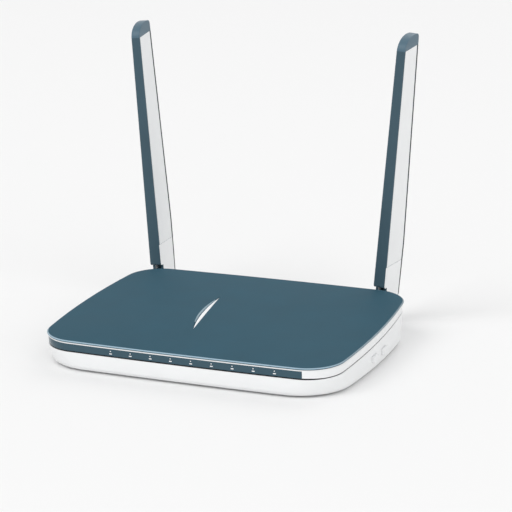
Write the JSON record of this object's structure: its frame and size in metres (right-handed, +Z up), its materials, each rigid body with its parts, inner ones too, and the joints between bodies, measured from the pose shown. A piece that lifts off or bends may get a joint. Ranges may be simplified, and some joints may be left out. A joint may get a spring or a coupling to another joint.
{
  "type": "optical network terminal",
  "caption": "Slim white network terminal with a slate top plate, a light slit, rear fibre, network and phone sockets and folding blade antennas.",
  "frame": {"origin": "middle of the flat underside of the lower shell, one millimetre over the desk", "axes": "+Z up, +Y from the front rim towards the rear sockets, +X to the right seen from the front"},
  "size_m": [0.2071, 0.1891, 0.1932],
  "materials": {
    "shell_white": "fine moulded texture",
    "plate_slate": "satin",
    "window_slate": "smooth",
    "lens_white": "diffusing",
    "clear_guide": "clear",
    "knuckle_slate": "satin",
    "foot_rubber": "matt",
    "screw_steel": "plated",
    "board_green": "solder mask",
    "chip_black": "moulded epoxy",
    "sink_alu": "extruded",
    "shield_tin": "tinned",
    "can_dark": "sleeved",
    "led_lens": "cast resin",
    "port_black": "moulded",
    "port_grey": "moulded",
    "fibre_blue": "moulded",
    "contact_gold": "gold flashed"
  },
  "bodies": {
    "housing": {"lower_shell": "shell_white", "upper_frame": "shell_white", "dust_seal": "foot_rubber", "top_plate": "plate_slate", "status_lens": "lens_white", "front_window": "window_slate", "light_guide": "clear_guide", "rubber_feet": "foot_rubber", "case_screws": "screw_steel", "circuit_board": "board_green", "board_screws": "screw_steel", "main_chip": "chip_black", "heatsink": "sink_alu", "memory_chips": "chip_black", "radio_shield": "shield_tin", "magnetics": "chip_black", "capacitors": "can_dark", "inductors": "chip_black", "status_leds": "led_lens", "fibre_module": "shield_tin", "fibre_adapter": "fibre_blue", "lan_port_1": "port_black", "lan_port_2": "port_black", "lan_port_3": "port_black", "lan_port_4": "port_black", "lan_contacts": "contact_gold", "phone_port": "port_grey", "phone_contacts": "contact_gold", "power_jack": "port_black", "power_jack_pin": "screw_steel", "power_switch": "port_black", "button_switches": "port_black", "reset_switch": "port_black", "left_socket": "knuckle_slate", "right_socket": "knuckle_slate"},
    "power_button": {"power_button": "shell_white"},
    "wps_button": {"wps_button": "shell_white"},
    "wifi_button": {"wifi_button": "shell_white"},
    "reset_button": {"reset_button": "port_grey"},
    "left_swivel": {"left_knuckle": "knuckle_slate"},
    "left_antenna": {"left_fold_pin": "screw_steel", "left_blade": "plate_slate", "left_outer_panel": "shell_white", "left_inner_panel": "shell_white", "left_radiator": "board_green"},
    "right_swivel": {"right_knuckle": "knuckle_slate"},
    "right_antenna": {"right_fold_pin": "screw_steel", "right_blade": "plate_slate", "right_outer_panel": "shell_white", "right_inner_panel": "shell_white", "right_radiator": "board_green"}
  },
  "joints": [
    {"name": "left_antenna_swivel", "type": "hinge", "parent": "housing", "child": "left_swivel", "pos_m": [-0.08807, 0.08155, 0.0185], "axis": [-0.0837, 0.9965, 0], "range_deg": [-85.5, 45]},
    {"name": "left_antenna_fold", "type": "hinge", "parent": "left_swivel", "child": "left_antenna", "pos_m": [-0.0892, 0.095, 0.0185], "axis": [0.9934, 0.0834, 0.0785], "range_deg": [-90, 0]},
    {"name": "right_antenna_swivel", "type": "hinge", "parent": "housing", "child": "right_swivel", "pos_m": [0.07167, 0.08155, 0.0185], "axis": [0.0837, 0.9965, 0], "range_deg": [-45, 85.5]},
    {"name": "right_antenna_fold", "type": "hinge", "parent": "right_swivel", "child": "right_antenna", "pos_m": [0.0728, 0.095, 0.0185], "axis": [0.9934, -0.0834, -0.0785], "range_deg": [-90, 0]},
    {"name": "power_button_press", "type": "slide", "parent": "housing", "child": "power_button", "axis": [0, -1, 0], "range_m": [0, 0.002], "stiffness_N_per_m": 400},
    {"name": "wps_button_press", "type": "slide", "parent": "housing", "child": "wps_button", "axis": [-1, 0, 0], "range_m": [0, 0.0008], "stiffness_N_per_m": 400},
    {"name": "wifi_button_press", "type": "slide", "parent": "housing", "child": "wifi_button", "axis": [-1, 0, 0], "range_m": [0, 0.0008], "stiffness_N_per_m": 400},
    {"name": "reset_button_press", "type": "slide", "parent": "housing", "child": "reset_button", "axis": [0, -1, 0], "range_m": [0, 0.0006], "stiffness_N_per_m": 400}
  ]
}
